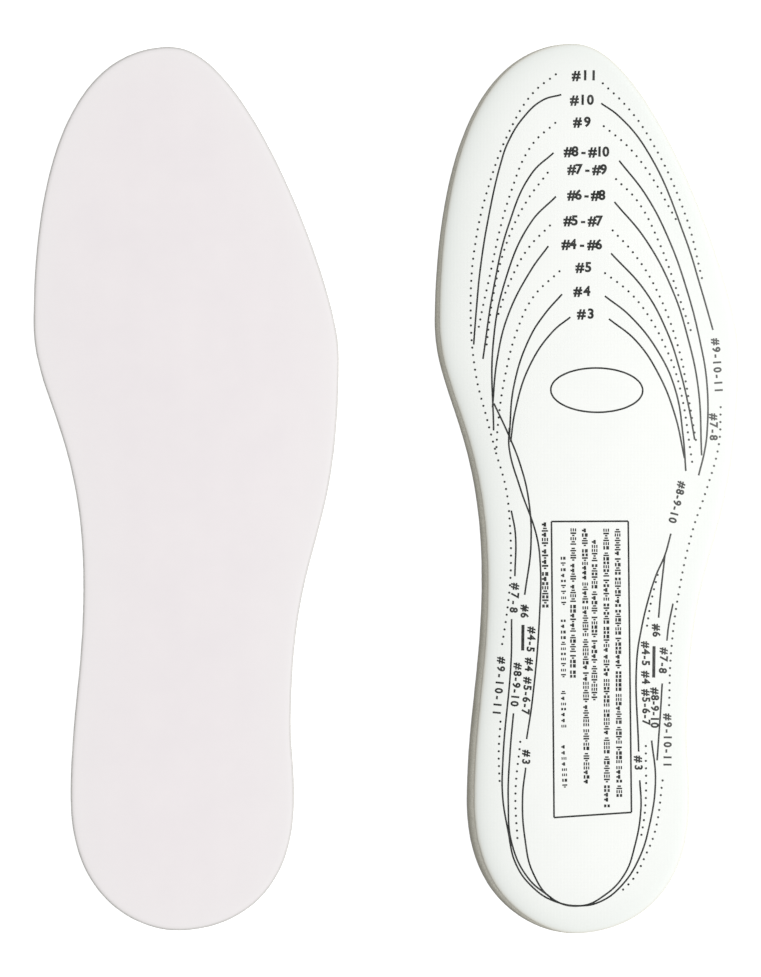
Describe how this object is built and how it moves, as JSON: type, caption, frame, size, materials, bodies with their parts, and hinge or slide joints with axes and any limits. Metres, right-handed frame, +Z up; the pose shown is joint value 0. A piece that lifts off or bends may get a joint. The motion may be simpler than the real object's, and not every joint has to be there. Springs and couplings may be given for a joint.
{
  "type": "cushioned insole pair",
  "caption": "Pair of flat cut-to-size cushioned insoles, one lying foot side up and its mate turned over to show the printed base cloth.",
  "frame": {"origin": "centre of the pair's plan bounding box, on the surface that both insoles lie on", "axes": "+Z up off the surface, through the thickness; +Y along the insoles towards the toes; +X from the right-foot insole, foot side up, to the turned-over left-foot insole"},
  "size_m": [0.2476, 0.3128, 0.0045],
  "materials": {
    "top_cloth": "matte",
    "bond_web": "satin",
    "foam": "matte",
    "base_cloth": "matte"
  },
  "bodies": {
    "root": {"right_top_cloth": "top_cloth", "right_top_bond_web": "bond_web", "right_foam_core": "foam", "right_base_bond_web": "bond_web", "right_base_cloth": "base_cloth", "left_top_cloth": "top_cloth", "left_top_bond_web": "bond_web", "left_foam_core": "foam", "left_base_bond_web": "bond_web", "left_base_cloth": "base_cloth"}
  },
  "joints": []
}
